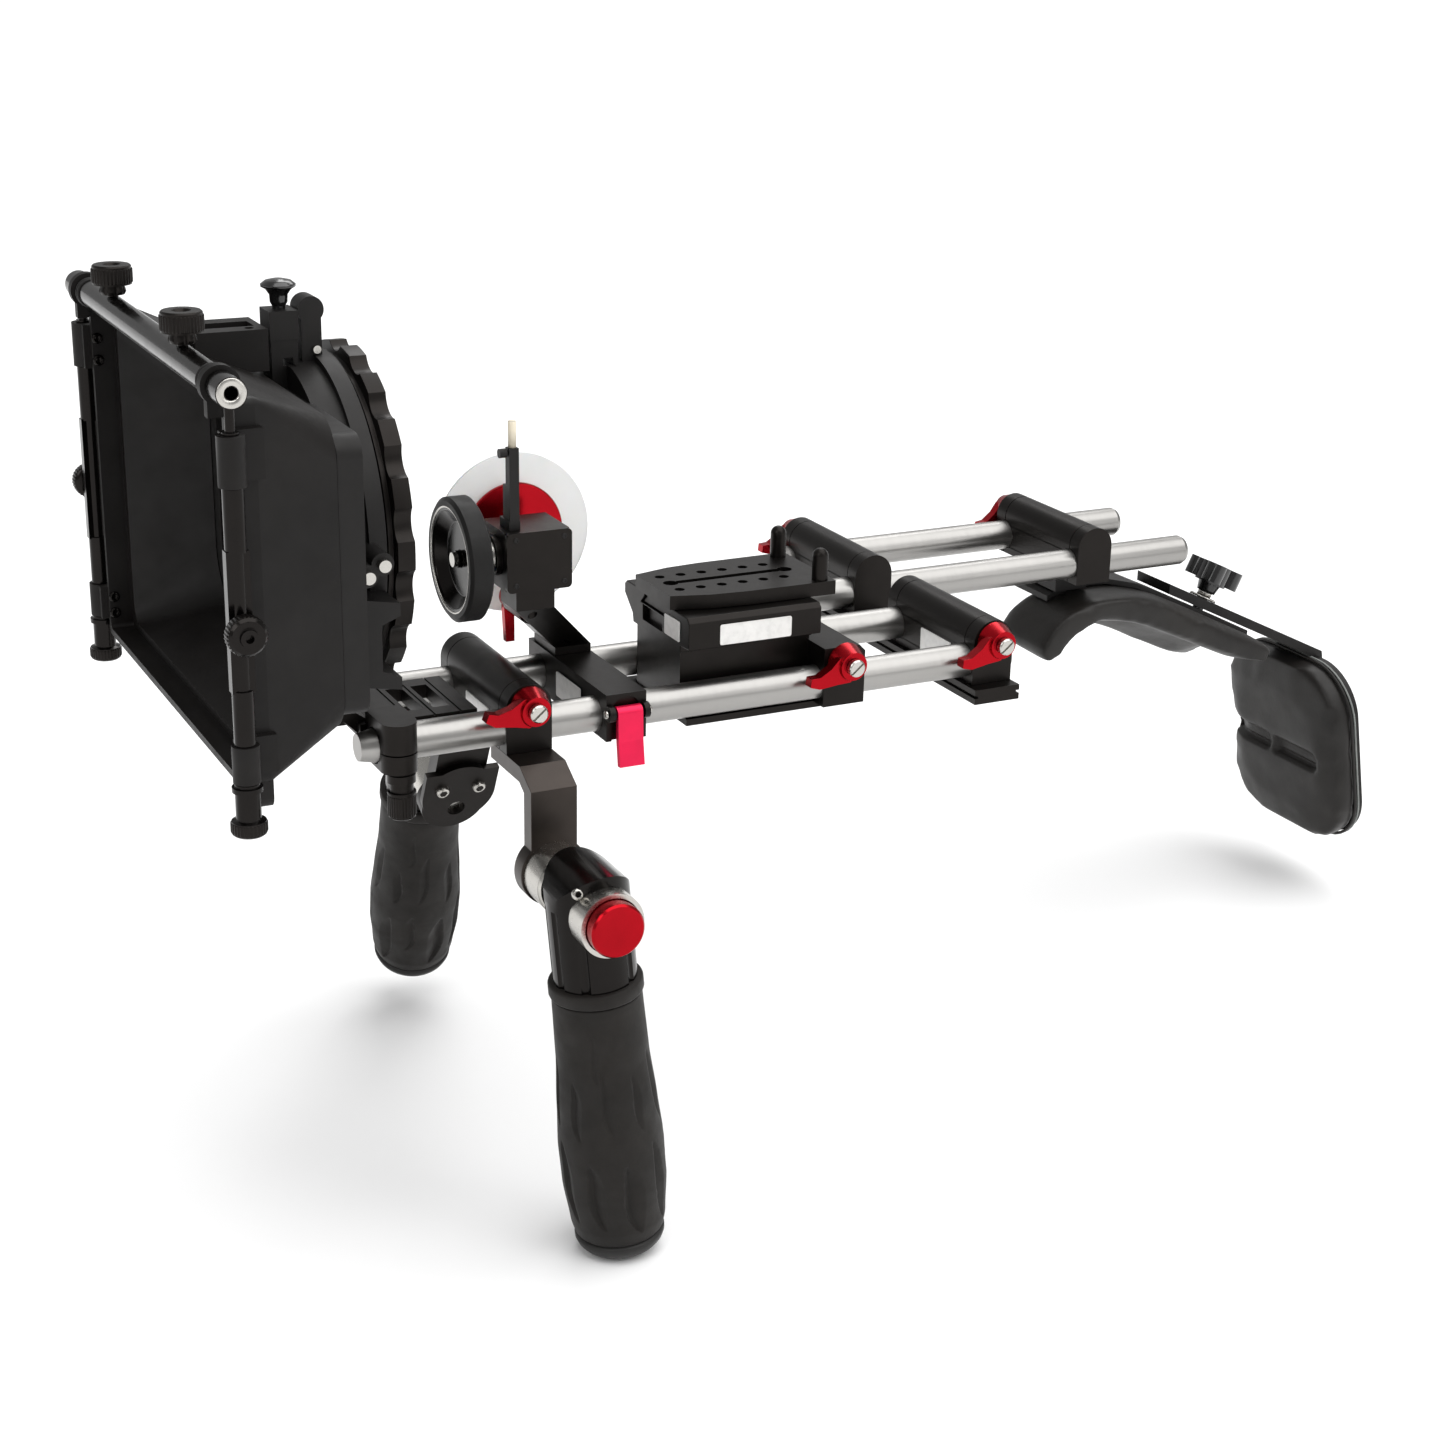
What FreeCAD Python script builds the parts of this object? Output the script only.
import FreeCAD, Part
import math
import os

# Shoulder-mounted cinema camera rig: 15 mm rods, matte box, friction follow focus, offset shoulder pad, two handles.
# Lengths are millimetres. Positions are measured from the rod datum: X across (+X is the operator's left),
# Y back from the front ends of the main rods, Z up from the main rods' axes.
# Finished solids are moved by TO_ORIGIN, so that the tripod thread's mouth under the base plate is the origin.

V = FreeCAD.Vector
X_AXIS, Y_AXIS, Z_AXIS = V(1, 0, 0), V(0, 1, 0), V(0, 0, 1)

# Rods
ROD_R = 7.5
ROD_HALF_PITCH = 30.0
ROD_FIT = 0.05
MAIN_ROD_LENGTH = 305.0
OFFSET_PAIR_X = -111.5
OFFSET_ROD_END_Y = 484.0
OFFSET_ROD_LENGTHS = {"left": 254.0, "right": 203.0}
GAP = 0.4
PIN_FIT = 0.05

# Crossbars that clamp a pair of rods
BAR_HALF_DEPTH = 10.0
BAR_HALF_LENGTH = 38.0
BAR_BOTTOM = -9.5
BAR_RIDGE_Z = 9.5
TIE_Z = 10.3
TIE_R = 2.5
LEVER_GAP = 0.5
HANDLE_BAR_Y = 70.5
REAR_BAR_Y = 292.5
OFFSET_BAR_Y = 295.0
PAD_BAR_Y = 423.5

# Base plate and camera plate
BASE_BOTTOM = -11.5
BASE_FRONT_Y = 146.0
BASE_REAR_Y = 207.0
BASE_CLAMP_Y = 217.0
TRIPOD_Y = 178.0
TRIPOD_R = 2.55
SLAB_BOTTOM = 20.0
SLAB_TOP = 36.0
PLATE_TOP = 42.5
PLATE_HOLE_R = 2.2
CAMERA_HOLE_R = 3.3
PLATE_HOLE_PITCH = 10.0

# Handles
PIVOT_Y, PIVOT_Z = 70.5, -52.5
BRACKET_IN_X = 56.0
BRACKET_OUT_X = 64.0
HEAD_X = 98.0
GRIP_LENGTH = 119.0
HANDLE_TILT = 5.5
RIGHT_SPLAY = 26.0
INNER_PLATE_RISE = 9.0
SET_SCREW = (PIVOT_Y - 9.6, PIVOT_Z + 12.4)

# Follow focus
FOCUS_CLAMP_Y = (103.0, 121.0)
FOCUS_CLAMP_TOP = 11.5
FOCUS_SHAFT_Y = 91.0
FOCUS_SHAFT_Z = 63.8
HOUSING_HALF = 14.0
WHEEL_R = 25.8
WHEEL_FRONT_Y = 51.7
DISC_R = 34.5

# Matte box
OPTIC_Z = 88.0
HOOD_FRONT_Y = -66.0
HOOD_REAR_Y = -24.0
LENS_BORE_R = 50.0
RING_R = 68.5
FLAG_ROD_X = 109.0
FLAG_ROD_Y = -66.5

# Shoulder support
PAD_NEAR_X = -72.0
PAD_CROWN_X = -112.0
STRUT_SLOPE = 25.3

TO_ORIGIN = V(0, -TRIPOD_Y, -BASE_BOTTOM)

AXES = {"X": X_AXIS, "Y": Y_AXIS, "Z": Z_AXIS}


def box(xs, ys, zs):
    return Part.makeBox(xs[1] - xs[0], ys[1] - ys[0], zs[1] - zs[0], V(xs[0], ys[0], zs[0]))


def on_axis(axis, centre, along):
    """The point at `along` on the line parallel to `axis` through `centre`, the other two coordinates in X, Y, Z order."""
    if axis == "X":
        return V(along, centre[0], centre[1])
    if axis == "Y":
        return V(centre[0], along, centre[1])
    return V(centre[0], centre[1], along)


def cyl(axis, centre, radius, lo, hi):
    return Part.makeCylinder(radius, hi - lo, on_axis(axis, centre, lo), AXES[axis])


def cone(axis, centre, r_lo, r_hi, lo, hi):
    return Part.makeCone(r_lo, r_hi, hi - lo, on_axis(axis, centre, lo), AXES[axis])


def tube(axis, centre, outer, inner, lo, hi):
    return cyl(axis, centre, outer, lo, hi).cut(cyl(axis, centre, inner, lo - 1, hi + 1))


def prism(axis, outline, lo, hi):
    """A straight-sided outline, given in the other two coordinates in X, Y, Z order, extruded along `axis`."""
    points = [on_axis(axis, p, lo) for p in outline]
    face = Part.Face(Part.makePolygon(points + points[:1]))
    return face.extrude(AXES[axis] * (hi - lo))


def rounded_outline(axis, halves, radius, centre, along):
    """A rounded rectangle wire in the plane across `axis`."""
    a, b = halves
    corners = [(a, b, 0), (-a, b, 90), (-a, -b, 180), (a, -b, 270)]
    edges = []
    last = None
    first = None
    for cx, cz, start in corners:
        mx = cx - math.copysign(radius, cx)
        mz = cz - math.copysign(radius, cz)
        arc = []
        for turn in (0, 45, 90):
            t = math.radians(start + turn)
            here = (centre[0] + mx + radius * math.cos(t), centre[1] + mz + radius * math.sin(t))
            arc.append(on_axis(axis, here, along))
        if last is not None:
            edges.append(Part.LineSegment(last, arc[0]).toShape())
        first = first or arc[0]
        edges.append(Part.Arc(*arc).toShape())
        last = arc[2]
    edges.append(Part.LineSegment(last, first).toShape())
    return Part.Wire(edges)


def rounded_block(axis, halves, radius, centre, lo, hi):
    wire = rounded_outline(axis, halves, radius, centre, lo)
    return Part.Face(wire).extrude(AXES[axis] * (hi - lo))


def revolve(axis, centre, profile):
    """A turned part: profile is (distance along the axis, radius) pairs, closed along the axis."""
    ends = [(profile[0][0], 0.0)] + list(profile) + [(profile[-1][0], 0.0)]
    points = []
    for along, radius in ends:
        p = on_axis(axis, centre, along)
        side = X_AXIS if axis == "Z" else Z_AXIS
        points.append(p + side * radius)
    face = Part.Face(Part.makePolygon(points + points[:1]))
    return face.revolve(on_axis(axis, centre, 0), AXES[axis], 360)


def fuse(first, *others):
    return first.fuse(list(others)).removeSplitter() if others else first


def cut(first, *others):
    return first.cut(list(others))


def mirror_x(shape, x_mid=0.0):
    return shape.mirror(V(x_mid, 0, 0), X_AXIS)


def turned(shape, centre, axis, degrees):
    moved = shape.copy()
    moved.rotate(centre, axis, degrees)
    return moved


def save(node, *shapes):
    solids = []
    for shape in shapes:
        solids.extend(shape.Solids)
    whole = solids[0] if len(solids) == 1 else Part.makeCompound(solids)
    whole = whole.copy()
    whole.translate(TO_ORIGIN)
    whole.exportStep("parts/" + node + ".step")


# ---------------------------------------------------------------- rods and crossbars

def rod(x, y_front, y_rear, tapered_front):
    nose = 9.0 if tapered_front else 2.0
    nose_r = 5.6 if tapered_front else ROD_R - 1.2
    return revolve("Y", (x, 0), [
        (y_front, nose_r), (y_front + nose, ROD_R), (y_rear - 3.0, ROD_R), (y_rear - 1.0, ROD_R - 1.0),
        (y_rear, ROD_R - 3.0)])


def rod_bores(x_mid, lo, hi, radius=ROD_R + ROD_FIT):
    return [cyl("Y", (x_mid + side * ROD_HALF_PITCH, 0), radius, lo, hi) for side in (-1, 1)]


def crossbar_profile(x_lo, x_hi, y_mid):
    """The clamp bar's section: flat sides, a half-round ridge on top."""
    ys = (y_mid - BAR_HALF_DEPTH, y_mid + BAR_HALF_DEPTH)
    return fuse(box((x_lo, x_hi), ys, (BAR_BOTTOM, BAR_RIDGE_Z)),
                cyl("X", (y_mid, BAR_RIDGE_Z), BAR_HALF_DEPTH, x_lo, x_hi))


def tie_bore(x_mid, y_mid, side):
    """The tie bolt's bore: open at the lever's end (side 1 or -1), blind at the other."""
    ends = sorted((-side * (BAR_HALF_LENGTH - 0.8), side * (BAR_HALF_LENGTH + 20)))
    return cyl("X", (y_mid, TIE_Z), TIE_R + PIN_FIT, x_mid + ends[0], x_mid + ends[1])


def crossbar_piece(x_mid, y_mid, side, x_lo, x_hi):
    bar = crossbar_profile(x_mid + x_lo, x_mid + x_hi, y_mid)
    return cut(bar, tie_bore(x_mid, y_mid, side), *rod_bores(x_mid, y_mid - 20, y_mid + 20))


def crossbar(x_mid, y_mid, side):
    half = ROD_HALF_PITCH - GAP / 2
    return crossbar_piece(x_mid, y_mid, side, -half, half)


def crossbar_jaws(x_mid, y_mid, side):
    inner = ROD_HALF_PITCH + GAP / 2
    return [crossbar_piece(x_mid, y_mid, side, inner, BAR_HALF_LENGTH),
            crossbar_piece(x_mid, y_mid, side, -BAR_HALF_LENGTH, -inner)]


LEVER_THICKNESS = 8.0


def lever(y_mid, z_mid, angle):
    """A cam lever on a tie bolt at x = 0, its arm pointing forward, tilted down by `angle`."""
    hub = cone("X", (y_mid, z_mid), 8.6, 6.2, 0, LEVER_THICKNESS)
    outline = [(1, 6.2), (-5, 5.6), (-10, 2.6), (-16, 1.0), (-20, 2.0), (-21.5, -1.4), (-17.5, -4.0),
               (-9, -5.4), (-3, -6.8), (1, -5.5)]
    arm = prism("X", [(y_mid + y, z_mid + z) for y, z in outline], 1.6, 6.6)
    piece = cut(fuse(hub, arm), cyl("X", (y_mid, z_mid), TIE_R + PIN_FIT, -1, LEVER_THICKNESS + 1))
    return turned(piece, V(0, y_mid, z_mid), X_AXIS, angle)


def tie_bolt(y_mid, z_mid, x_tail, x_head):
    """A slotted round-head bolt whose head lies outside the lever."""
    shank = cyl("X", (y_mid, z_mid), TIE_R, x_tail, x_head + 1)
    head = revolve("X", (y_mid, z_mid), [(x_head, 3.8), (x_head + 2.2, 3.8), (x_head + 2.8, 3.2)])
    slot = box((x_head + 1.6, x_head + 4), (y_mid - 5, y_mid + 5), (z_mid - 0.45, z_mid + 0.45))
    return cut(fuse(shank, head), turned(slot, V(0, y_mid, z_mid), X_AXIS, 40))


def placed_lever(x_mid, y_mid, side, angle, z_mid=TIE_Z):
    """The lever at the bar's +X end (side 1) or its mirror at the -X end (side -1)."""
    piece = lever(y_mid, z_mid, angle)
    piece.translate(V(BAR_HALF_LENGTH + LEVER_GAP, 0, 0))
    if side < 0:
        piece = mirror_x(piece)
    piece.translate(V(x_mid, 0, 0))
    return piece


def placed_tie_bolt(x_mid, y_mid, side, z_mid=TIE_Z):
    tail = -BAR_HALF_LENGTH + 1.0
    head = BAR_HALF_LENGTH + LEVER_GAP + LEVER_THICKNESS + 0.4
    piece = tie_bolt(y_mid, z_mid, tail, head)
    if side < 0:
        piece = mirror_x(piece)
    piece.translate(V(x_mid, 0, 0))
    return piece


CROSSBARS = {
    "handle": (0.0, HANDLE_BAR_Y, 1, 2.0),
    "rear": (0.0, REAR_BAR_Y, 1, 20.0),
    "offset": (OFFSET_PAIR_X, OFFSET_BAR_Y, -1, 18.0),
    "pad": (OFFSET_PAIR_X, PAD_BAR_Y, -1, 24.0),
}


def build_rods_and_crossbars():
    save("main_rod_left", rod(ROD_HALF_PITCH, 0.0, MAIN_ROD_LENGTH, True))
    save("main_rod_right", rod(-ROD_HALF_PITCH, 0.0, MAIN_ROD_LENGTH, True))
    for side, sign in (("left", 1), ("right", -1)):
        x = OFFSET_PAIR_X + sign * ROD_HALF_PITCH
        front = OFFSET_ROD_END_Y - OFFSET_ROD_LENGTHS[side]
        save("offset_rod_" + side, rod(x, front, OFFSET_ROD_END_Y, False))
    jaws, bolts = [], []
    for name, (x_mid, y_mid, side, angle) in CROSSBARS.items():
        save(name + "_crossbar", crossbar(x_mid, y_mid, side))
        save(name + "_crossbar_lever", placed_lever(x_mid, y_mid, side, angle))
        jaws += crossbar_jaws(x_mid, y_mid, side)
        bolts.append(placed_tie_bolt(x_mid, y_mid, side))
    bolts.append(placed_tie_bolt(0.0, BASE_CLAMP_Y, 1))
    save("crossbar_jaws", *jaws)
    save("tie_bolts", *bolts)


def offset_rail():
    """The slotted dovetail rail that carries the offset rods beside the main pair."""
    ys = (280.0, 303.0)
    zs = (-16.4, BAR_BOTTOM - 0.1)
    rail = box((-149.5, 45.0), ys, zs)
    groove = box((-160.0, 60.0), (ys[0] - 1, ys[0] + 1.6), (-13.6, -12.2))
    rear_groove = box((-160.0, 60.0), (ys[1] - 1.6, ys[1] + 1), (-13.6, -12.2))
    slots = []
    for x_mid in (-75.0, -36.0):
        slots.append(rounded_block("Z", (14.0, 2.6), 2.55, (x_mid, 291.5), zs[0] - 1, zs[1] + 1))
    holes = [cyl("Z", (x, 291.5), 2.6, zs[0] - 1, zs[1] + 1) for x in (-131.5, -91.5, -15.0, 15.0)]
    return cut(rail, groove, rear_groove, *slots, *holes)


def socket_screw(x, y, z_head, length, head_r=3.6, head_h=2.4, shank_r=2.5, up=False):
    """A socket-head screw standing on Z, its head at z_head, driven up by default."""
    sign = -1 if up else 1
    z_tip = z_head + sign * length
    shank = cyl("Z", (x, y), shank_r, min(z_head, z_tip), max(z_head, z_tip))
    lo, hi = sorted((z_head, z_head - sign * head_h))
    head = cyl("Z", (x, y), head_r, lo, hi)
    socket_lo, socket_hi = sorted((z_head - sign * head_h * 1.1, z_head - sign * head_h * 0.4))
    socket = cyl("Z", (x, y), 1.6, socket_lo, socket_hi)
    return cut(fuse(shank, head), socket)


def frame_screws():
    """Cap screws under the offset rail, under the handle brackets and under the pad block."""
    screws = [socket_screw(x, 291.5, -16.5, 6.8) for x in (-131.5, -91.5, -15.0, 15.0)]
    for x in (-26.0, 26.0):
        for dy in (-5.0, 5.0):
            screws.append(socket_screw(x, HANDLE_BAR_Y + dy, BAR_BOTTOM - 7.2, 7.0, 2.8, 1.6, 1.6))
    return screws


# ---------------------------------------------------------------- base plate and camera plate

def base_plate():
    """Lower block between the main rods, its rod clamp behind and its tripod foot below."""
    block = box((-21.8, 21.8), (BASE_FRONT_Y, BASE_REAR_Y + 1), (-9.0, SLAB_BOTTOM - 1))
    foot = box((-31.0, 31.0), (BASE_FRONT_Y - 1, BASE_REAR_Y + 5), (BASE_BOTTOM, -8.6))
    clamp_ys = (BASE_CLAMP_Y - BAR_HALF_DEPTH, BASE_CLAMP_Y + BAR_HALF_DEPTH)
    outline = [(clamp_ys[0], -9.5), (clamp_ys[1], -9.5), (clamp_ys[1], 14.0), (clamp_ys[1] - 3, 17.0),
               (clamp_ys[0], 17.0)]
    clamp = prism("X", outline, -BAR_HALF_LENGTH, BAR_HALF_LENGTH)
    bores = rod_bores(0.0, BASE_FRONT_Y - 5, clamp_ys[1] + 5)
    slits = [box((s * ROD_HALF_PITCH - 0.3, s * ROD_HALF_PITCH + 0.3), (clamp_ys[0] + 6, clamp_ys[1] + 1),
                 (-20.0, 0.0)) for s in (-1, 1)]
    tie = tie_bore(0.0, BASE_CLAMP_Y, 1)
    thread = cyl("Z", (0, TRIPOD_Y), TRIPOD_R, BASE_BOTTOM - 1, BASE_BOTTOM + 9.5)
    wide_thread = cyl("Z", (0, TRIPOD_Y + 18), 4.0, BASE_BOTTOM - 1, BASE_BOTTOM + 9.5)
    return cut(fuse(block, foot, clamp), tie, thread, wide_thread, *bores, *slits)


def base_slab():
    """Raised dovetail bed that the camera plate slides in."""
    outline = [(-24, SLAB_BOTTOM - 0.9), (24, SLAB_BOTTOM - 0.9), (24, 22.0), (32, 22.5), (32, 34.0),
               (30, SLAB_TOP), (-31, SLAB_TOP), (-33, 34.5), (-33, 30.0), (-25, 23.0)]
    bed = prism("Y", outline, BASE_FRONT_Y - 1, 208.0)
    dovetail = prism("Y", [(-12.5, SLAB_TOP + 1), (12.5, SLAB_TOP + 1), (12.5, 34.0), (16.0, 30.5),
                           (-16.0, 30.5), (-12.5, 34.0)], BASE_FRONT_Y - 5, 240.0)
    window = box((-14.0, 6.0), (BASE_FRONT_Y - 5, BASE_FRONT_Y + 1.2), (23.0, 30.0))
    return cut(bed, dovetail, window)


def camera_plate():
    """Sliding quick-release plate: two rows of camera screw holes, a middle slot, two rear posts."""
    outline = [(-17.5, 143.0), (17.5, 143.0), (22.0, 160.0), (23.5, 176.0), (24.0, 219.0), (-24.0, 219.0),
               (-23.5, 176.0), (-22.0, 160.0)]
    plate = prism("Z", outline, SLAB_TOP + GAP, PLATE_TOP)
    tongue = prism("Y", [(-12.1, SLAB_TOP + 1), (12.1, SLAB_TOP + 1), (12.1, 33.6), (15.2, 31.0),
                         (-15.2, 31.0), (-12.1, 33.6)], 146.0, 206.0)
    holes = []
    for row_x in (-10.0, 10.0):
        for i in range(6):
            y = 151.0 + i * PLATE_HOLE_PITCH
            holes.append(cyl("Z", (row_x, y), PLATE_HOLE_R, 20, 50))
    camera_holes = [cyl("Z", (0, y), CAMERA_HOLE_R, 20, 50) for y in (151.5, 206.5)]
    slot = rounded_block("Z", (1.9, 25.0), 1.85, (0, 179.0), 20, 50)
    post_bores = [cyl("Z", (x, 213.5), 2.5, 30, 50) for x in (-19.5, 19.5)]
    return cut(fuse(plate, tongue), slot, *holes, *camera_holes, *post_bores)


def stop_posts():
    posts = []
    for x in (-19.5, 19.5):
        barrel = fuse(cyl("Z", (x, 213.5), 3.5, PLATE_TOP, 53.0), Part.makeSphere(3.5, V(x, 213.5, 53.0)))
        posts.append(fuse(barrel, cyl("Z", (x, 213.5), 2.5, PLATE_TOP - 4.0, PLATE_TOP + 1)))
    return posts


def build_base():
    save("base_plate", base_plate())
    save("base_slab", base_slab())
    save("camera_plate", camera_plate(), *stop_posts())
    save("base_plate_lever", placed_lever(0.0, BASE_CLAMP_Y, 1, 16.0))


# ---------------------------------------------------------------- handles

def handle_bracket(half):
    """Bent flat bar: a flange under the handle crossbar, then a plate down to the rosette. Drawn for the left side."""
    top, thick = BAR_BOTTOM - 0.1, 7.0
    outline = [(20.0, top), (BRACKET_IN_X - 4, top), (BRACKET_OUT_X, top - 7), (BRACKET_OUT_X, -64.0),
               (BRACKET_IN_X, -64.0), (BRACKET_IN_X, top - 10), (BRACKET_IN_X - 5, top - thick), (20.0, top - thick)]
    bar = prism("Y", outline, HANDLE_BAR_Y - half, HANDLE_BAR_Y + half)
    round_end = cyl("X", (PIVOT_Y, PIVOT_Z), 14.5, BRACKET_IN_X, BRACKET_OUT_X)
    trim = cut(box((BRACKET_IN_X - 1, BRACKET_OUT_X + 1), (40, 100), (-80, PIVOT_Z)),
               cyl("X", (PIVOT_Y, PIVOT_Z), 14.5, BRACKET_IN_X - 2, BRACKET_OUT_X + 2))
    bolt_hole = cyl("X", (PIVOT_Y, PIVOT_Z), 4.05, BRACKET_IN_X - 1, BRACKET_OUT_X + 1)
    flange_holes = [cyl("Z", (26.0, HANDLE_BAR_Y + dy), 1.65, -30, 0) for dy in (-5.0, 5.0)]
    return cut(fuse(bar, round_end), trim, bolt_hole, *flange_holes)


def rosette():
    """Fixed half of the handle joint: a silver disc with the pivot stud that the handle head turns on."""
    disc = revolve("X", (PIVOT_Y, PIVOT_Z), [(BRACKET_OUT_X, 13.5), (HEAD_X - 19.5, 13.5), (HEAD_X - 18.2, 12.5)])
    stud = cyl("X", (PIVOT_Y, PIVOT_Z), 4.0, BRACKET_IN_X, HEAD_X - 2.0)
    return fuse(disc, stud)


def head_outline():
    """Section across the handle head: a round body with four shallow flutes."""
    body = cyl("Z", (HEAD_X, PIVOT_Y), 17.0, PIVOT_Z - 32.0, PIVOT_Z + 18.0)
    flutes = []
    for degrees in (35, 75, 105, 145, 215, 255, 285, 325):
        t = math.radians(degrees)
        centre = (HEAD_X + 18.6 * math.cos(t), PIVOT_Y + 18.6 * math.sin(t))
        flutes.append(cyl("Z", centre, 2.6, PIVOT_Z - 60, PIVOT_Z + 2))
    return cut(body, *flutes)


def handle_head():
    """Black handle head with its grip spigot, the pivot socket, and the push button's bore."""
    dome = cyl("X", (PIVOT_Y, PIVOT_Z), 17.6, HEAD_X - 18, HEAD_X + 18)
    skirt = box((HEAD_X - 18, HEAD_X + 18), (PIVOT_Y - 18, PIVOT_Y + 18), (PIVOT_Z - 40, PIVOT_Z))
    body = head_outline().common(fuse(dome, skirt))
    spigot = cyl("Z", (HEAD_X, PIVOT_Y), 7.0, PIVOT_Z - 140.0, PIVOT_Z - 31.0)
    socket = cyl("X", (PIVOT_Y, PIVOT_Z), 4.0 + PIN_FIT, 60.0, HEAD_X - 1.0)
    button_bore = cyl("X", (PIVOT_Y, PIVOT_Z), 10.4, HEAD_X + 3.0, HEAD_X + 40)
    stem_bore = cyl("X", (PIVOT_Y, PIVOT_Z), 3.4, HEAD_X - 1.5, HEAD_X + 4.0)
    screw_bore = cyl("X", SET_SCREW, 1.42, HEAD_X + 8.0, HEAD_X + 20.0)
    return cut(fuse(body, spigot), socket, button_bore, stem_bore, screw_bore)


def button_collar():
    collar = tube("X", (PIVOT_Y, PIVOT_Z), 13.4, 11.6, HEAD_X + 12.0, HEAD_X + 24.0)
    shoulder = cyl("Z", (HEAD_X, PIVOT_Y), 17.05, PIVOT_Z - 30, PIVOT_Z + 30)
    return cut(collar, shoulder)


def push_button():
    """Red cap with the stem that frees the rosette."""
    x = HEAD_X
    cap = revolve("X", (PIVOT_Y, PIVOT_Z), [(x + 8.0, 10.0), (x + 20.0, 10.0), (x + 20.2, 11.2), (x + 29.0, 11.2),
                                            (x + 30.0, 10.4), (x + 29.7, 2.0)])
    stem = cyl("X", (PIVOT_Y, PIVOT_Z), 3.0, x + 2.6, x + 9.0)
    return fuse(cap, stem)


def grip():
    """Rubber sleeve with a closed heel: narrow at the top, full in the middle, bored for the spigot."""
    top = PIVOT_Z - 39.0
    bottom = top - GRIP_LENGTH + 9.0
    span = top - bottom
    profile = [(bottom, 18.4), (bottom + 0.06 * span, 19.8), (bottom + 0.22 * span, 21.6),
               (bottom + 0.38 * span, 21.8), (bottom + 0.55 * span, 20.6), (bottom + 0.75 * span, 19.0),
               (bottom + 0.97 * span, 18.4), (top, 18.2)]
    sleeve = revolve("Z", (HEAD_X, PIVOT_Y), profile)
    collar = revolve("Z", (HEAD_X, PIVOT_Y), [(top - 0.5, 18.0), (top + 0.2, 19.2), (top + 6.2, 19.2), (top + 6.9, 18.4)])
    heel = revolve("Z", (HEAD_X, PIVOT_Y), [(bottom - 8.0, 12.0), (bottom - 6.5, 16.4), (bottom - 3.0, 18.6),
                                            (bottom + 0.5, 18.8)])
    bore = cyl("Z", (HEAD_X, PIVOT_Y), 7.0 + PIN_FIT, bottom + 1, top + 10)
    return cut(fuse(sleeve, collar, heel), bore)


def set_screw():
    """Small silver screw on the head's shoulder."""
    return revolve("X", SET_SCREW, [(HEAD_X + 8.0, 1.4), (HEAD_X + 14.4, 1.4), (HEAD_X + 15.0, 1.0)])


def place_handle(shape, side):
    """Left handle: tilted about its pivot. Right handle: mirrored, then splayed with its bracket plate."""
    tilted = turned(shape, V(0, PIVOT_Y, PIVOT_Z), X_AXIS, HANDLE_TILT)
    return tilted if side > 0 else splay(mirror_x(tilted))


RIGHT_PIVOT = V(-61.7, 71.5, -62.6)
RIGHT_KNEE_Z = -14.0


def splay(shape):
    """Carries a mirrored left-hand part to the right side's pivot and leans it outwards."""
    moved = turned(shape, V(-BRACKET_OUT_X, PIVOT_Y, PIVOT_Z), Y_AXIS, RIGHT_SPLAY)
    moved.translate(RIGHT_PIVOT - V(-BRACKET_OUT_X, PIVOT_Y, PIVOT_Z))
    return moved


def right_bracket():
    """Flat bar under the crossbar, bent once so that its lower plate leans outwards to the rosette."""
    top = BAR_BOTTOM - 0.1
    ys = (HANDLE_BAR_Y - 12.0, HANDLE_BAR_Y + 12.0)
    flange = box((-46.0, -20.0), ys, (top - 7.0, top))
    plate = fuse(box((-BRACKET_OUT_X, -BRACKET_IN_X), ys, (PIVOT_Z, PIVOT_Z + 60)),
                 cyl("X", (PIVOT_Y, PIVOT_Z), 15.0, -BRACKET_OUT_X, -BRACKET_IN_X))
    hole = cyl("X", (PIVOT_Y, PIVOT_Z), 4.0 + PIN_FIT, -BRACKET_OUT_X - 1, -BRACKET_IN_X + 1)
    leaning = splay(cut(plate, hole)).cut(box((-100, 0), (0, 140), (top, 60)))
    flange_holes = [cyl("Z", (-26.0, HANDLE_BAR_Y + dy), 1.65, -30, 0) for dy in (-5.0, 5.0)]
    return cut(fuse(flange, leaning), *flange_holes)


def right_inner_plate():
    """Round-ended plate with two screws on the right bracket's inner face."""
    x_lo, x_hi = -BRACKET_IN_X, -BRACKET_IN_X + 3.0
    z_mid = PIVOT_Z + INNER_PLATE_RISE
    plate = fuse(cyl("X", (PIVOT_Y, z_mid), 17.0, x_lo, x_hi),
                 box((x_lo, x_hi), (PIVOT_Y - 17, PIVOT_Y + 17), (z_mid, z_mid + 14)))
    notch = cyl("X", (PIVOT_Y + 3, z_mid - 17), 3.0, x_lo - 1, x_hi + 1)
    heads = []
    for dy in (-8.5, 8.5):
        heads.append(revolve("X", (PIVOT_Y + dy, z_mid + 4), [(x_hi, 2.9), (x_hi + 1.2, 2.9), (x_hi + 1.9, 1.8)]))
    bolt = cyl("X", (PIVOT_Y, PIVOT_Z), 4.05, x_lo - 1, x_hi + 1)
    return [splay(cut(plate, notch, bolt))] + [splay(head) for head in heads]


def build_handles():
    save("handle_bracket_left", handle_bracket(10.0))
    save("handle_bracket_right", right_bracket(), *right_inner_plate())
    save("rosette_discs", rosette(), splay(mirror_x(rosette())))
    for side, name in ((1, "left"), (-1, "right")):
        save("handle_head_" + name, place_handle(handle_head(), side), place_handle(set_screw(), side))
        save("button_collar_" + name, place_handle(button_collar(), side))
        save("push_button_" + name, place_handle(push_button(), side))
        save("grip_" + name, place_handle(grip(), side))


# ---------------------------------------------------------------- follow focus

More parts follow.
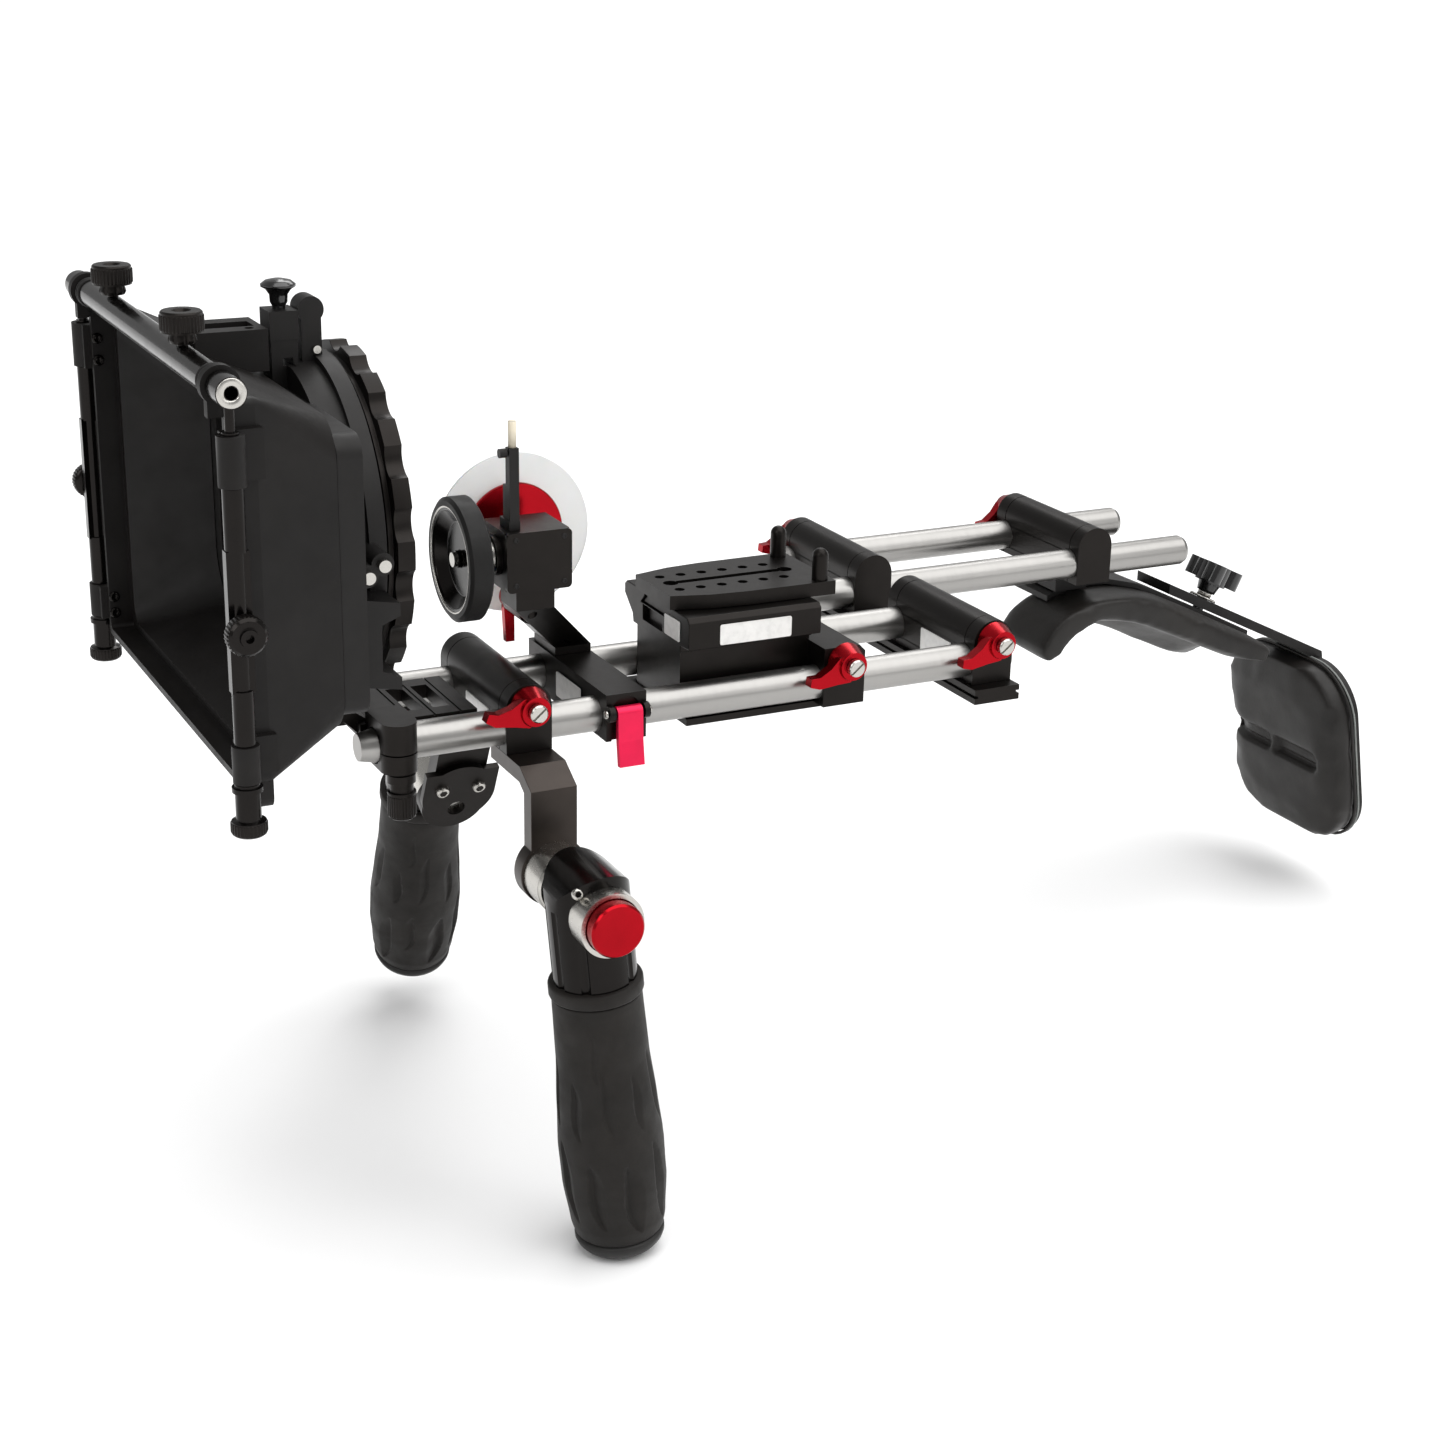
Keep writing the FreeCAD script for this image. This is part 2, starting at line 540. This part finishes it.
CLAMP_HALF = 42.0
LEVER_PIN_X, LEVER_PIN_Z = 43.6, 3.8
DRIVE_R = 3.0
HOUSING_Y = (71.5, 99.5)
HOUSING_Z = (51.0, 75.6)
GEAR_FAR, GEAR_NEAR = 6.4, 3.8
DISC_X = -30.0


def focus_clamp():
    """Block across both main rods, its near end recessed for the release lever."""
    y0, y1 = FOCUS_CLAMP_Y
    y_mid = (y0 + y1) / 2
    block = box((-CLAMP_HALF, CLAMP_HALF), FOCUS_CLAMP_Y, (-8.8, FOCUS_CLAMP_TOP))
    arch = fuse(cyl("X", (y_mid, 3.6), 6.6, 40.2, 43), box((40.2, 43), (y_mid - 6.6, y_mid + 6.6), (-10, 3.6)))
    ears = []
    for lo, hi in ((y0, y0 + 2.4), (y1 - 2.4, y1)):
        ears.append(cyl("Y", (LEVER_PIN_X, LEVER_PIN_Z), 3.4, lo, hi))
    pin = cyl("Y", (LEVER_PIN_X, LEVER_PIN_Z), 1.3, y0 - 0.6, y1 + 0.6)
    body = cut(fuse(block, *ears), arch, cyl("Y", (LEVER_PIN_X, LEVER_PIN_Z), 1.3, y0 - 1, y1 + 1))
    return [cut(body, *rod_bores(0.0, y0 - 5, y1 + 5)), pin]


def focus_clamp_lever():
    """Flat release lever hanging outside the clamp's near end."""
    y_mid = sum(FOCUS_CLAMP_Y) / 2
    ys = (y_mid - 5.6, y_mid + 5.6)
    hub = cyl("Y", (LEVER_PIN_X, LEVER_PIN_Z), 2.9, *ys)
    blade = prism("Y", [(44.2, 4.0), (46.5, 4.0), (47.0, -8.0), (48.6, -18.4), (46.0, -18.6), (44.4, -8.0)], *ys)
    return cut(fuse(hub, blade), cyl("Y", (LEVER_PIN_X, LEVER_PIN_Z), 1.3 + PIN_FIT, 90, 130))


FAR_LEVER_Y, FAR_LEVER_Z = 88.0, 38.0
FAR_LEVER_X = -19.0


def focus_far_lever():
    """Bar lever hanging from the arm's far side, on its own pivot stub."""
    centre = (FAR_LEVER_Y, FAR_LEVER_Z)
    hub = cyl("X", centre, 5.8, FAR_LEVER_X - 5.0, FAR_LEVER_X)
    stub = cyl("X", centre, 3.0, FAR_LEVER_X - 1, FAR_LEVER_X + 10.0)
    y, z = centre
    outline = [(y - 4.2, 18.5), (y - 0.3, 18.5), (y - 0.3, z - 6), (y + 3.0, z - 3), (y + 3.0, z + 3), (y - 4.0, z + 3),
               (y - 5.0, z - 4)]
    blade = prism("X", outline, FAR_LEVER_X - 4.4, FAR_LEVER_X - 1.2)
    return fuse(hub, stub, blade)


def rectangle_wire(xs, ys, z):
    points = [V(xs[0], ys[0], z), V(xs[1], ys[0], z), V(xs[1], ys[1], z), V(xs[0], ys[1], z)]
    return Part.makePolygon(points + points[:1])


def focus_arm():
    """Cranked post from the clamp's top, leaning forward and towards +X up to the gearbox."""
    foot = FOCUS_CLAMP_TOP + 0.1
    seat = HOUSING_Z[0] - 0.1
    lower = rectangle_wire((-38.0, -14.5), (104.0, 120.6), foot + 3.4)
    upper = rectangle_wire((-6.0, 11.4), (76.0, 93.0), 42.0)
    lean = Part.makeLoft([lower, upper], True, True)
    base = box((-38.0, -14.5), (104.0, 120.6), (foot, foot + 3.5))
    head = box((-6.0, 11.4), (76.0, 93.0), (41.9, seat))
    centre = (FAR_LEVER_Y, FAR_LEVER_Z)
    boss = cyl("X", centre, 6.4, FAR_LEVER_X + 0.4, 0.0)
    bore = cyl("X", centre, 3.0 + PIN_FIT, FAR_LEVER_X - 2, FAR_LEVER_X + 10.6)
    split = box((-45.0, -10.0), (80.0, 125.0), (20.0, 21.6))
    kerf = turned(split, V(-24, 104, 21), X_AXIS, -32).common(box((-50, -8), (96.0, 110.0), (13, 30)))
    screws = [cyl("Z", (x, 84.5), 2.0, 30, 60) for x in (0.0, 8.0)]
    return cut(fuse(lean, base, head, boss), bore, kerf, *screws)


def focus_housing():
    """Gearbox shell with its flat side cover."""
    shell = box((-HOUSING_HALF, HOUSING_HALF - 2.6), HOUSING_Y, HOUSING_Z)
    inside = box((-HOUSING_HALF + 3, HOUSING_HALF - 2), (HOUSING_Y[0] + 3, HOUSING_Y[1] - 1.6),
                 (HOUSING_Z[0] + 2.2, HOUSING_Z[1] - 2.2))
    drive_bore = cyl("Y", (0, FOCUS_SHAFT_Z), DRIVE_R + PIN_FIT, 60, 78)
    hand_bore = cyl("X", (FOCUS_SHAFT_Y, FOCUS_SHAFT_Z), DRIVE_R + PIN_FIT, -20, -8)
    bezel = cut(cyl("Y", (0, FOCUS_SHAFT_Z), 8.5, HOUSING_Y[0] - 2.2, HOUSING_Y[0] + 1), drive_bore)
    y_mid = sum(HOUSING_Y) / 2
    z_mid = sum(HOUSING_Z) / 2
    halves = ((HOUSING_Y[1] - HOUSING_Y[0]) / 2 + 0.3, (HOUSING_Z[1] - HOUSING_Z[0]) / 2 + 0.3)
    cover = rounded_block("X", halves, 2.0, (y_mid, z_mid), HOUSING_HALF - 2.5, HOUSING_HALF)
    return [cut(fuse(shell, bezel), inside, drive_bore, hand_bore), cover]


def drive_shaft():
    """Friction wheel's shaft with its silver hub and mitre gear."""
    z = FOCUS_SHAFT_Z
    shaft = cyl("Y", (0, z), DRIVE_R, 52.5, FOCUS_SHAFT_Y - GEAR_NEAR)
    hub = revolve("Y", (0, z), [(61.6, 4.6), (63.4, 4.6), (64.0, 6.8), (68.9, 6.8)])
    gear = cone("Y", (0, z), GEAR_FAR - 0.35, GEAR_NEAR - 0.35, FOCUS_SHAFT_Y - GEAR_FAR, FOCUS_SHAFT_Y - GEAR_NEAR)
    return fuse(shaft, hub, gear)


def hand_shaft():
    """Hand wheel's shaft with the turned grip knob outside and the second mitre gear inside."""
    centre = (FOCUS_SHAFT_Y, FOCUS_SHAFT_Z)
    shaft = cyl("X", centre, DRIVE_R, DISC_X - 12.0, -GEAR_NEAR)
    knob = revolve("X", centre, [(DISC_X - 17.0, 14.0), (DISC_X - 15.5, 16.0), (DISC_X - 4.0, 16.0),
                                 (DISC_X - 1.2, 12.0)])
    gear = cone("X", centre, GEAR_FAR - 0.35, GEAR_NEAR - 0.35, -GEAR_FAR, -GEAR_NEAR)
    gear = gear.common(box((-GEAR_FAR, -GEAR_NEAR), (60, 120), (40, 90)))
    flutes = []
    for i in range(12):
        t = math.radians(30 * i)
        flutes.append(cyl("X", (centre[0] + 17.2 * math.cos(t), centre[1] + 17.2 * math.sin(t)), 2.4,
                          DISC_X - 18, DISC_X - 3))
    return fuse(cut(knob, *flutes), shaft, gear)


def wheel_dish():
    """Turned dish inside the friction tyre."""
    centre = (0, FOCUS_SHAFT_Z)
    front, rear = WHEEL_FRONT_Y, WHEEL_FRONT_Y + 9.4
    dish = cyl("Y", centre, 22.1, front, rear)
    front_hollow = revolve("Y", centre, [(front - 1, 20.6), (front + 0.6, 20.4), (front + 4.6, 15.5)])
    rear_hollow = cut(cyl("Y", centre, 20.0, front + 6.6, rear + 1), cyl("Y", centre, 7.0, front, rear + 2))
    nut = cyl("Y", centre, 3.6, front + 2.4, front + 5.0)
    return cut(fuse(cut(dish, front_hollow, rear_hollow), nut), cyl("Y", centre, DRIVE_R + 0.02, front + 0.2, rear + 2))


def friction_tyre():
    centre = (0, FOCUS_SHAFT_Z)
    front, rear = WHEEL_FRONT_Y - 0.4, WHEEL_FRONT_Y + 9.8
    ring = revolve("Y", centre, [(front, WHEEL_R - 1.6), (front + 1.2, WHEEL_R), (rear - 1.2, WHEEL_R),
                                 (rear, WHEEL_R - 1.6)])
    return cut(ring, cyl("Y", centre, 22.15, front - 1, rear + 1))


def hand_wheel():
    """Red flange that backs the marking disc."""
    centre = (FOCUS_SHAFT_Y, FOCUS_SHAFT_Z)
    flange = revolve("X", centre, [(DISC_X + 0.9, 22.0), (DISC_X + 2.6, 22.0), (DISC_X + 3.0, 21.5)])
    hub = cyl("X", centre, 8.0, DISC_X + 2.0, -HOUSING_HALF - 0.5)
    return cut(fuse(flange, hub), cyl("X", centre, DRIVE_R + 0.02, -60, 0))


def marking_disc():
    centre = (FOCUS_SHAFT_Y, FOCUS_SHAFT_Z)
    return tube("X", centre, DISC_R, DRIVE_R + 0.05, DISC_X - 0.8, DISC_X + 0.8)


def focus_pointer():
    """Index post on the gearbox: a square bar, a thin marker rod in its top and a side clamp screw."""
    z0 = HOUSING_Z[1] + 0.1
    bar = fuse(box((-1.5, 9.0), (74.2, 79.0), (z0, z0 + 4)), box((1.6, 9.0), (74.5, 78.7), (z0, 94.0)),
               box((4.6, 9.0), (74.5, 78.7), (z0, 110.0)))
    marker_bore = cyl("Z", (6.8, 76.6), 1.5, 96, 112)
    screw_bore = cyl("Y", (6.8, 108.0), 1.1, 73, 75.4)
    marker = cyl("Z", (6.8, 76.6), 1.48, 96.5, 121.0)
    screw = fuse(cyl("Y", (6.8, 108.0), 1.05, 72, 75.0), cyl("Y", (6.8, 108.0), 1.9, 70.8, 73.9))
    return [cut(bar, marker_bore, screw_bore), marker, screw]


def build_focus():
    save("focus_clamp", *focus_clamp())
    save("focus_clamp_lever", focus_clamp_lever())
    save("focus_far_lever", focus_far_lever())
    save("focus_arm", focus_arm())
    save("focus_housing", *focus_housing())
    save("drive_shaft", drive_shaft())
    save("hand_shaft", hand_shaft())
    save("wheel_dish", wheel_dish())
    save("friction_tyre", friction_tyre())
    save("hand_wheel", hand_wheel())
    save("marking_disc", marking_disc())
    save("focus_pointer", *focus_pointer())


# ---------------------------------------------------------------- matte box

FRAME_HALF = (100.0, 71.0)
FRAME_MID_Z = 89.0
REAR_HALF = (92.0, 59.0)
STAGE_HALF = (91.0, 53.0)
STAGE_Y = (-23.6, -14.0)
BAND_RS = (63.0, 65.5)
RING_SEAT_R = 56.0
BAR_Z = 165.0
BAR_R = 5.3
BARREL_ZS = ((24.0, 38.0), (132.0, 150.0))


def loft(axis, sections):
    wires = [rounded_outline(axis, halves, radius, centre, along) for along, halves, radius, centre in sections]
    return Part.makeLoft(wires, True, True)


def matte_hood():
    """Shade: a square front frame, then walls closing to the filter stage; flag barrels and bar ears outside."""
    front = (0.0, FRAME_MID_Z)
    rear = (0.0, OPTIC_Z)
    lip = HOOD_FRONT_Y + 11.0
    frame = rounded_block("Y", FRAME_HALF, 3.0, front, HOOD_FRONT_Y, lip)
    shell = loft("Y", [(lip, FRAME_HALF, 3.0, front), (HOOD_REAR_Y, REAR_HALF, 16.0, rear)])
    frame_hole = rounded_block("Y", (97.2, 68.2), 2.0, front, HOOD_FRONT_Y - 1, lip - 1.5)
    throat = loft("Y", [(lip - 1.6, (94.0, 65.0), 8.0, front), (HOOD_REAR_Y + 0.5, (78.0, 51.0), 22.0, rear)])
    extras = []
    for side in (1, -1):
        xs = sorted((side * 99.0, side * 103.0))
        axis_x = side * FLAG_ROD_X
        for z0, z1 in BARREL_ZS:
            extras.append(box(xs, (HOOD_FRONT_Y, HOOD_FRONT_Y + 13), (z0, z1)))
            extras.append(box(sorted((side * 101.0, axis_x)), (FLAG_ROD_Y - 2.2, FLAG_ROD_Y + 2.8), (z0, z1)))
            extras.append(cyl("Z", (axis_x, FLAG_ROD_Y), 5.0, z0, z1))
        ear_x = sorted((side * 95.5, side * 99.8))
        extras.append(cyl("X", (FLAG_ROD_Y, BAR_Z), 7.2, *ear_x))
        extras.append(box(ear_x, (FLAG_ROD_Y - 5.0, HOOD_FRONT_Y + 6), (154.0, BAR_Z)))
    extras.append(fuse(box((90.0, 99.0), (-64.0, -54.0), (12.0, 20.0)), cyl("Y", (94.5, 12.5), 4.5, -64.0, -54.0)))
    rail = box((-13.0, 13.0), (-52.0, -24.0), (150.0, 166.0))
    slot = box((-5.0, 5.0), (-53.0, -27.0), (163.4, 167.0))
    screw_hole = cyl("Z", (8.6, -30.0), 1.8, 160, 168)
    bores = [cyl("X", (FLAG_ROD_Y, BAR_Z), BAR_R + PIN_FIT, -120, 120)]
    for side in (1, -1):
        bores.append(cyl("Z", (side * FLAG_ROD_X, FLAG_ROD_Y), 3.0 + PIN_FIT, 0, 152))
    body = fuse(frame, shell, rail, *extras)
    return cut(body, frame_hole, throat, slot, screw_hole, *bores)


def flag_bar():
    """Bar across the hood's top edge, tapped at both ends, drilled for the thumbscrews and the flag rods."""
    bar = revolve("X", (FLAG_ROD_Y, BAR_Z), [(-113.0, 5.6), (-100.4, 5.6), (-100.2, BAR_R), (100.2, BAR_R),
                                             (100.4, 5.6), (113.0, 5.6)])
    holes = []
    for side in (1, -1):
        holes.append(cyl("X", (FLAG_ROD_Y, BAR_Z), 2.3, *sorted((side * 97.0, side * 114.0))))
        holes.append(cyl("Z", (side * 52.0, FLAG_ROD_Y), 2.0 + PIN_FIT, BAR_Z - 4.0, BAR_Z + 8))
        holes.append(cyl("Z", (side * FLAG_ROD_X, FLAG_ROD_Y), 1.8 + PIN_FIT, BAR_Z - 8, BAR_Z - 2.6))
    return cut(bar, *holes)


def flag_thumbscrew(x):
    centre = (x, FLAG_ROD_Y)
    body = revolve("Z", centre, [(BAR_Z - 3.6, 2.0), (170.9, 2.0), (171.0, 4.6), (172.2, 5.2), (174.6, 4.6),
                                 (175.0, 7.6), (182.0, 7.6), (182.6, 7.0)])
    flutes = []
    for i in range(8):
        t = math.radians(45 * i)
        flutes.append(cyl("Z", (x + 5.6 * math.cos(t), FLAG_ROD_Y + 5.6 * math.sin(t)), 1.1, 170.5, 174.9))
    dimple = cone("Z", centre, 2.4, 4.0, 181.2, 183.0)
    return cut(body, dimple, *flutes)


def flag_rod():
    """Hinge rod with its flat blade, clamp knob and knurled foot. Drawn for the left side."""
    centre = (FLAG_ROD_X, FLAG_ROD_Y)
    rod_piece = cyl("Z", centre, 3.0, 8.0, 151.0)
    pin = cyl("Z", centre, 1.8, 150.0, BAR_Z - 3.2)
    sleeves = [cyl("Z", centre, 3.9, 109.0, 131.6), cyl("Z", centre, 3.9, 38.4, 58.6)]
    foot = revolve("Z", centre, [(4.0, 5.6), (4.6, 6.3), (9.4, 6.3), (10.0, 4.6), (20.4, 4.6), (20.6, 5.6),
                                 (22.4, 5.6), (22.6, 4.6), (23.6, 4.6)])
    blade = box((FLAG_ROD_X - 2.2, FLAG_ROD_X + 2.2), (FLAG_ROD_Y - 4.2, FLAG_ROD_Y + 4.2), (58.0, 109.5))
    knob = revolve("X", (FLAG_ROD_Y, 81.0), [(FLAG_ROD_X + 1, 3.0), (FLAG_ROD_X + 4.2, 3.0), (FLAG_ROD_X + 4.6, 6.2),
                                             (FLAG_ROD_X + 5.4, 7.0), (FLAG_ROD_X + 10.4, 7.0),
                                             (FLAG_ROD_X + 11.4, 6.0), (FLAG_ROD_X + 11.6, 3.4),
                                             (FLAG_ROD_X + 12.8, 3.2)])
    socket = cyl("X", (FLAG_ROD_Y, 81.0), 1.6, FLAG_ROD_X + 10.6, FLAG_ROD_X + 14)
    return cut(fuse(rod_piece, pin, foot, blade, knob, *sleeves), socket)


def filter_stage():
    """Filter frame with stepped ring bands behind it, a top latch block and the side hinge block."""
    centre = (0.0, OPTIC_Z)
    plate = rounded_block("Y", STAGE_HALF, 8.0, centre, *STAGE_Y)
    bands = [cyl("Y", centre, BAND_RS[0], STAGE_Y[1] - 1, -3.0), cyl("Y", centre, BAND_RS[1], -4.0, 2.8)]
    latch = fuse(box((-6.0, 6.0), (-21.0, -10.5), (138.0, 163.0)), box((-6.4, 6.4), (-21.4, -10.1), (160.0, 171.0)))
    ear = fuse(box((-5.0, 5.0), (-8.6, -0.6), (150.0, 171.0)), cyl("X", (-4.6, 170.6), 5.2, -5.0, 5.0))
    outline = [(-20.0, 78.0), (2.4, 74.0), (2.4, 69.0), (-5.0, 66.0), (-5.0, 48.0), (2.4, 45.0), (2.4, 40.0),
               (-20.0, 44.0)]
    hinge = prism("X", outline, 58.0, 80.0)
    lugs = [cyl("X", (y, z), 4.4, 58.0, 79.0) for y, z in ((-9.7, 85.2), (-3.6, 89.2))]
    opening = rounded_block("Y", (70.0, 46.0), 10.0, centre, STAGE_Y[0] - 1, STAGE_Y[0] + 5)
    bore = cyl("Y", centre, LENS_BORE_R, -30, 10)
    seat = cyl("Y", centre, RING_SEAT_R + 0.4, -2.0, 10)
    knob_bore = cyl("Z", (0, -15.6), 2.5 + PIN_FIT, 156.0, 180.0)
    pins = [cyl("X", (y, z), 2.4, 55, 85) for y, z in ((-9.7, 85.2), (-3.6, 89.2))]
    top_pin = cyl("X", (-3.0, 155.4), 1.6, -10, 10)
    notch = box((-10.0, 10.0), (-16.5, -12.5), (150.0, 153.0))
    body = fuse(plate, latch, ear, hinge, *bands, *lugs)
    return cut(body, opening, bore, seat, knob_bore, top_pin, notch, *pins)


def latch_pins():
    """Silver hinge and latch pins of the stage."""
    pins = [cyl("X", (y, z), 2.38, 60.0, 82.0) for y, z in ((-9.7, 85.2), (-3.6, 89.2))]
    return pins + [cyl("X", (-3.0, 155.4), 1.58, -5.4, 6.6)]


def latch_knob():
    """Mushroom-headed pull pin of the top latch."""
    return revolve("Z", (0, -15.6), [(157.0, 2.5), (172.0, 2.5), (173.6, 3.4), (176.5, 3.6), (178.4, 5.0),
                                     (179.6, 6.8), (180.4, 6.8), (181.8, 5.0), (182.4, 2.4)])


def lens_ring():
    """Scalloped ring that turns in the stage's seat and grips the lens."""
    centre = (0.0, OPTIC_Z)
    ring = cyl("Y", centre, RING_R, 4.0, 13.0)
    hub = cyl("Y", centre, RING_SEAT_R, -1.4, 5.0)
    front_step = tube("Y", centre, RING_R + 1, 63.5, 3.0, 6.0)
    scallops = []
    for i in range(18):
        t = math.radians(20 * i + 10)
        scallops.append(cyl("Y", ((RING_R + 5.5) * math.cos(t), OPTIC_Z + (RING_R + 5.5) * math.sin(t)), 8.6, 2, 14))
    return cut(fuse(ring, hub), front_step, cyl("Y", centre, 47.5, -10, 20), *scallops)


def matte_foot():
    """Slotted foot between the rods, its two rod clamps and the post that carries the ring bands."""
    plate = box((-22.4, 22.4), (4.0, 54.0), (0.6, 6.6))
    post = prism("X", [(-11.0, 34.0), (-11.0, 16.0), (2.0, 4.0), (5.0, 0.6), (9.0, 0.6), (9.0, 6.6), (3.0, 11.0),
                       (3.0, 34.0)], -19.0, 19.0)
    post = cut(post, cyl("Y", (0, OPTIC_Z), BAND_RS[0] + 0.1, -14.9, -3.9), cyl("Y", (0, OPTIC_Z), BAND_RS[1] + 0.1, -4, 4))
    slots = [box((-14.0, 14.0), (y, y + 7.0), (0, 8)) for y in (27.0, 38.0)]
    lines = [box((-23.0, 23.0), (y, y + 0.8), (6.0, 8)) for y in (24.0, 35.4, 46.6)]
    pieces = [plate, post]
    for side in (1, -1):
        pieces.append(box(sorted((side * 20.0, side * 38.0)), (7.0, 22.0), (-8.8, 12.0)))
    pieces.append(cyl("Z", (38.0, 14.5), 7.5, -8.8, 12.0))
    pieces.append(box((-43.0, -37.0), (7.0, 22.0), (-8.8, 12.0)))
    screw_bore = cyl("Z", FOOT_SCREW, 2.05, -10, 5)
    split = [box(sorted((side * 36.0, side * 50.0)), (0, 30), (-1.0, -0.4)) for side in (1, -1)]
    return cut(fuse(*pieces), *slots, *lines, *split, *rod_bores(0.0, -5, 30), screw_bore)


FOOT_SCREW = (40.6, 14.5)


def foot_thumbscrew():
    return revolve("Z", FOOT_SCREW, [(-28.0, 4.6), (-27.4, 5.4), (-17.6, 5.4), (-17.4, 5.8), (-16.6, 5.8), (-16.4, 4.8),
                                     (-12.8, 4.8), (-12.6, 5.8), (-9.2, 5.8), (-9.1, 2.0), (4.4, 2.0)])


def build_matte_box():
    save("matte_hood", matte_hood())
    save("flag_bar", flag_bar())
    save("flag_thumbscrew_left", flag_thumbscrew(52.0))
    save("flag_thumbscrew_right", flag_thumbscrew(-52.0))
    save("flag_rod_left", flag_rod())
    save("flag_rod_right", mirror_x(flag_rod()))
    save("filter_stage", filter_stage())
    save("latch_pins", *latch_pins())
    save("latch_knob", latch_knob())
    save("lens_ring", lens_ring())
    save("matte_foot", matte_foot())
    save("foot_thumbscrew", foot_thumbscrew())


# ---------------------------------------------------------------- shoulder support

ARCH = [(412.0, -21.0), (415.0, -19.0), (430.0, -15.3), (448.0, -15.8), (468.0, -20.8), (495.0, -33.0),
        (534.0, -51.4), (544.0, -56.1)]
CUSHION_TOP = [(394.0, -45.0), (403.0, -30.5), (412.0, -24.4), (430.0, -18.8), (448.0, -19.3), (468.0, -24.3),
               (495.0, -36.5), (534.0, -54.9), (547.0, -61.2)]
CUSHION_UNDER = [(541.0, -69.5), (526.0, -65.0), (488.0, -48.0), (464.0, -37.5), (448.0, -32.5), (430.0, -32.0),
                 (418.0, -37.0), (407.0, -50.0), (400.0, -52.0)]
ARM_PLATE_X = (-127.0, -96.0)
STRUT_TAN = math.tan(math.radians(STRUT_SLOPE))
STRUT_X = (-126.0, -97.0)
STRUT_FRONT_Y = 490.0
STRUT_FRONT_Z = -24.0
STRUT_THICK = 5.0
KNOB_Y = 523.5
BOARD_TILT = 10.65
BACK_CENTRE = (-110.5, -130.0)
BOARD_HINGE = V(0, 592.0, -68.0)


def strut_top(y):
    return STRUT_FRONT_Z - STRUT_TAN * (y - STRUT_FRONT_Y)


def along_slope(shape):
    """Tips a shape drawn upright at the knob's axis to stand square on the strut."""
    return turned(shape, V(OFFSET_PAIR_X, KNOB_Y, strut_top(KNOB_Y)), X_AXIS, -STRUT_SLOPE)


def pad_arm():
    """Bracket under the pad crossbar with the arched plate that backs the shoulder cushion."""
    under = [(y, z - 3.0) for y, z in reversed(ARCH)]
    plate = prism("X", ARCH + under, *ARM_PLATE_X)
    block = box((-131.0, -92.0), (PAD_BAR_Y - 9.5, PAD_BAR_Y + 9.5), (-18.0, BAR_BOTTOM - 0.1))
    top = strut_top(KNOB_Y)
    bore = along_slope(cyl("Z", (OFFSET_PAIR_X, KNOB_Y), 3.0 + PIN_FIT, top - 20, top + 5))
    return cut(fuse(plate, block), bore)


def shoulder_pad():
    """Cushion under the arched plate, level to the crown line and drooping beyond it."""
    outline = CUSHION_TOP + CUSHION_UNDER
    near = prism("X", outline, PAD_CROWN_X, PAD_NEAR_X)
    points = [V(PAD_CROWN_X, y, z) for y, z in outline]
    face = Part.Face(Part.makePolygon(points + points[:1]))
    wing = face.extrude(V(-34.0, 0, -18.0)).cut(box((-150.0, PAD_CROWN_X - 8), (380.0, 446.0), (-110.0, 0.0)))
    top = strut_top(KNOB_Y)
    relief = along_slope(cyl("Z", (OFFSET_PAIR_X, KNOB_Y), 4.5, top - 14.0, top + 5))
    return cut(fuse(near, wing), relief)


def back_board():
    """Slotted strut with its end bent down on to the back board."""
    drop = STRUT_THICK / math.cos(math.radians(STRUT_SLOPE))
    outline = [(STRUT_FRONT_Y, STRUT_FRONT_Z), (598.0, strut_top(598.0)), (605.0, -111.8), (600.5, -112.7),
               (594.2, strut_top(594.2) - drop), (STRUT_FRONT_Y, STRUT_FRONT_Z - drop)]
    strut = prism("X", outline, *STRUT_X)
    top = strut_top(KNOB_Y)
    slot = rounded_block("Z", (3.5, 23.0), 3.45, (OFFSET_PAIR_X, KNOB_Y), top - 9, top + 5)
    side_lines = [box((x - 0.5, x + 0.5), (KNOB_Y - 32, KNOB_Y + 60), (top - 0.8, top + 2)) for x in (-121.5, -101.5)]
    strut = cut(strut, along_slope(slot), *[along_slope(line) for line in side_lines])
    board = rounded_block("Y", (46.0, 52.0), 27.0, BACK_CENTRE, 590.6, 593.6)
    return fuse(strut, turned(board, BOARD_HINGE, X_AXIS, BOARD_TILT))


def back_pad():
    """Back cushion with a shallow channel across its middle."""
    pad = rounded_block("Y", (48.0, 52.5), 29.0, BACK_CENTRE, 574.5, 590.4)
    channel = box((OFFSET_PAIR_X - 48.0, OFFSET_PAIR_X + 34.0), (570.0, 577.0), (-136.0, -125.0))
    return turned(cut(pad, channel), BOARD_HINGE, X_AXIS, BOARD_TILT)


def pad_knob():
    """Three-lobed clamp knob and its screw, square to the strut."""
    top = strut_top(KNOB_Y)
    centre = (OFFSET_PAIR_X, KNOB_Y)
    screw = cyl("Z", centre, 3.0, top - 10.5, top + 9.0)
    neck = cone("Z", centre, 5.0, 6.4, top + 4.0, top + 10.0)
    body = cyl("Z", centre, 8.6, top + 9.0, top + 20.0)
    lobes = []
    for i in range(3):
        t = math.radians(120 * i + 80)
        lobes.append(cyl("Z", (centre[0] + 10.6 * math.cos(t), centre[1] + 10.6 * math.sin(t)), 5.6, top + 10, top + 20))
    return along_slope(fuse(screw, neck, body, *lobes))


def build_shoulder():
    save("pad_arm", pad_arm())
    save("shoulder_pad", shoulder_pad())
    save("back_board", back_board())
    save("back_pad", back_pad())
    save("pad_knob", pad_knob())


os.makedirs("parts", exist_ok=True)
build_rods_and_crossbars()
save("offset_rail", offset_rail())
save("frame_screws", *frame_screws())
build_base()
build_handles()
build_focus()
build_matte_box()
build_shoulder()
